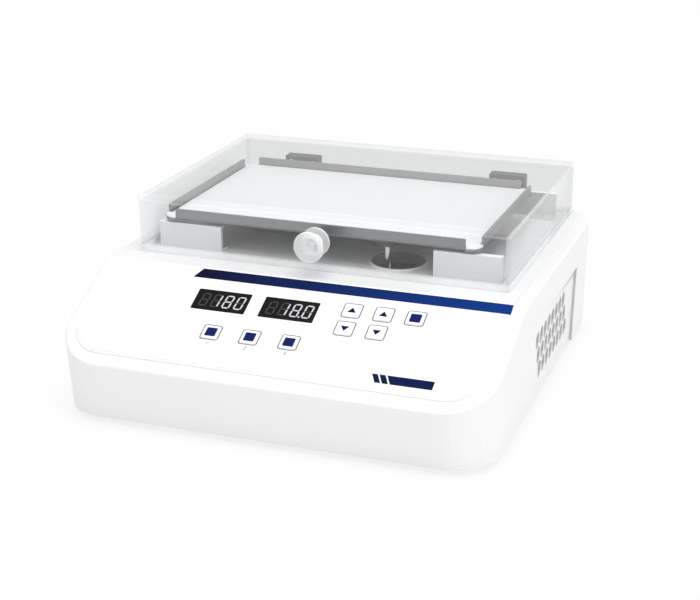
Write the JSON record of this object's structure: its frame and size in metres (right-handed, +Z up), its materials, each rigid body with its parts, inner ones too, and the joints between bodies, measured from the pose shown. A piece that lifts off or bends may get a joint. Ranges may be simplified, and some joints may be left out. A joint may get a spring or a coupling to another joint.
{
  "type": "orbital shaker",
  "caption": "Bench-top laboratory orbital shaker: sloped control panel, clear hinged cover, and a sheet-metal tray carried round a small circle on parallel cranks.",
  "frame": {"origin": "middle of the bounding box's underside, on the bench below the feet", "axes": "+X to the right seen from the control panel, +Y to the back where the cover's hinges are, +Z up"},
  "size_m": [0.338, 0.35, 0.1426],
  "materials": {
    "housing_plastic": "fine satin white",
    "floor_plastic": "satin white",
    "overlay_film": "printed white film with a blue band",
    "key_plastic": "white with a blue mark",
    "display_glass": "smoked window",
    "black_plastic": "fine grain",
    "circuit_board": "green lacquer",
    "clear_acrylic": "clear polished acrylic",
    "guard_steel": "white-grey coat",
    "hinge_metal": "dark grey coat",
    "sheet_steel": "light grey coat",
    "motor_paint": "black coat",
    "tray_steel": "brushed",
    "machined_steel": "machined",
    "pin_steel": "ground and polished",
    "bearing_steel": "polished",
    "screw_steel": "plated",
    "aluminium": "machined",
    "brass": "plated",
    "mat_rubber": "white non-slip",
    "belt_rubber": "black",
    "rubber": "black"
  },
  "bodies": {
    "housing": {"upper_housing": "housing_plastic", "bottom_plate": "sheet_steel", "rubber_feet": "rubber", "base_screws": "screw_steel", "chamber_floor": "floor_plastic", "front_guard_left": "guard_steel", "front_guard_right": "guard_steel", "back_guard": "guard_steel", "guard_screws": "screw_steel", "control_overlay": "overlay_film", "display_windows": "display_glass", "display_modules": "black_plastic", "control_board": "circuit_board", "key_switches": "black_plastic", "board_screws": "screw_steel", "power_supply": "circuit_board", "drive_plate": "aluminium", "drive_posts": "aluminium", "drive_bearing_housing": "aluminium", "drive_bearings": "bearing_steel", "idler_bearing_housings": "aluminium", "idler_bearings": "bearing_steel", "drive_motor": "motor_paint", "drive_screws": "screw_steel", "drive_belt": "belt_rubber", "mains_inlet": "black_plastic", "inlet_pins": "brass", "switch_frame": "black_plastic", "fuse_holder": "black_plastic", "hinge_base_leaves": "hinge_metal", "hinge_pins": "screw_steel", "hinge_screws": "screw_steel"},
    "lid": {"lid_cover": "clear_acrylic", "lid_knob": "clear_acrylic", "knob_screw": "screw_steel", "hinge_lid_leaves": "hinge_metal", "hinge_clamps": "black_plastic", "lid_screws": "screw_steel"},
    "crank": {"drive_crank": "machined_steel", "drive_pin": "pin_steel", "driven_pulley": "aluminium"},
    "motor_rotor": {"motor_pulley": "aluminium"},
    "idler_front": {"idler_crank_front": "pin_steel"},
    "idler_back": {"idler_crank_back": "pin_steel"},
    "idler_left": {"idler_crank_left": "pin_steel"},
    "platform": {"tray": "tray_steel", "tray_mat": "mat_rubber", "pin_hubs": "aluminium", "pin_bearings": "bearing_steel", "hub_screws": "screw_steel"},
    "key_time_up": {"key_time_up": "key_plastic"},
    "key_time_down": {"key_time_down": "key_plastic"},
    "key_speed_up": {"key_speed_up": "key_plastic"},
    "key_speed_down": {"key_speed_down": "key_plastic"},
    "key_start": {"key_start": "key_plastic"},
    "key_program_1": {"key_program_1": "key_plastic"},
    "key_program_2": {"key_program_2": "key_plastic"},
    "key_program_3": {"key_program_3": "key_plastic"},
    "rocker": {"power_rocker": "black_plastic"}
  },
  "joints": [
    {"name": "crank_spin", "type": "hinge", "parent": "housing", "child": "crank", "pos_m": [0, 0.0517, 0.08], "axis": [0, 0, 1], "continuous": true},
    {"name": "platform_orbit", "type": "hinge", "parent": "crank", "child": "platform", "pos_m": [-0.00672, 0.04498, 0.115], "axis": [0, 0, 1], "continuous": true},
    {"name": "motor_spin", "type": "hinge", "parent": "housing", "child": "motor_rotor", "pos_m": [-0.056, -0.0103, 0.032], "axis": [0, 0, 1], "continuous": true},
    {"name": "idler_front_spin", "type": "hinge", "parent": "housing", "child": "idler_front", "pos_m": [0.052, -0.0148, 0.068], "axis": [0, 0, 1], "continuous": true},
    {"name": "idler_back_spin", "type": "hinge", "parent": "housing", "child": "idler_back", "pos_m": [0.052, 0.1117, 0.068], "axis": [0, 0, 1], "continuous": true},
    {"name": "idler_left_spin", "type": "hinge", "parent": "housing", "child": "idler_left", "pos_m": [-0.082, 0.0517, 0.068], "axis": [0, 0, 1], "continuous": true},
    {"name": "lid_hinge", "type": "hinge", "parent": "housing", "child": "lid", "pos_m": [0, 0.1649, 0.103], "axis": [-1, 0, 0], "range_deg": [0, 100]},
    {"name": "key_time_up_press", "type": "slide", "parent": "housing", "child": "key_time_up", "axis": [0, 0.4305, -0.9026], "range_m": [0, 0.0008], "stiffness_N_per_m": 400, "springref_m": -0.001},
    {"name": "key_time_down_press", "type": "slide", "parent": "housing", "child": "key_time_down", "axis": [0, 0.4305, -0.9026], "range_m": [0, 0.0008], "stiffness_N_per_m": 400, "springref_m": -0.001},
    {"name": "key_speed_up_press", "type": "slide", "parent": "housing", "child": "key_speed_up", "axis": [0, 0.4305, -0.9026], "range_m": [0, 0.0008], "stiffness_N_per_m": 400, "springref_m": -0.001},
    {"name": "key_speed_down_press", "type": "slide", "parent": "housing", "child": "key_speed_down", "axis": [0, 0.4305, -0.9026], "range_m": [0, 0.0008], "stiffness_N_per_m": 400, "springref_m": -0.001},
    {"name": "key_start_press", "type": "slide", "parent": "housing", "child": "key_start", "axis": [0, 0.4305, -0.9026], "range_m": [0, 0.0008], "stiffness_N_per_m": 400, "springref_m": -0.001},
    {"name": "key_program_1_press", "type": "slide", "parent": "housing", "child": "key_program_1", "axis": [0, 0.4305, -0.9026], "range_m": [0, 0.0008], "stiffness_N_per_m": 400, "springref_m": -0.001},
    {"name": "key_program_2_press", "type": "slide", "parent": "housing", "child": "key_program_2", "axis": [0, 0.4305, -0.9026], "range_m": [0, 0.0008], "stiffness_N_per_m": 400, "springref_m": -0.001},
    {"name": "key_program_3_press", "type": "slide", "parent": "housing", "child": "key_program_3", "axis": [0, 0.4305, -0.9026], "range_m": [0, 0.0008], "stiffness_N_per_m": 400, "springref_m": -0.001},
    {"name": "rocker_tip", "type": "hinge", "parent": "housing", "child": "rocker", "pos_m": [0.044, 0.169, 0.038], "axis": [1, 0, 0], "range_deg": [-18, 0]}
  ],
  "couplings": [
    {"joint": "platform_orbit", "follows": "crank_spin", "ratio": -1},
    {"joint": "motor_spin", "follows": "crank_spin", "ratio": 3},
    {"joint": "idler_front_spin", "follows": "crank_spin", "ratio": 1},
    {"joint": "idler_back_spin", "follows": "crank_spin", "ratio": 1},
    {"joint": "idler_left_spin", "follows": "crank_spin", "ratio": 1}
  ]
}
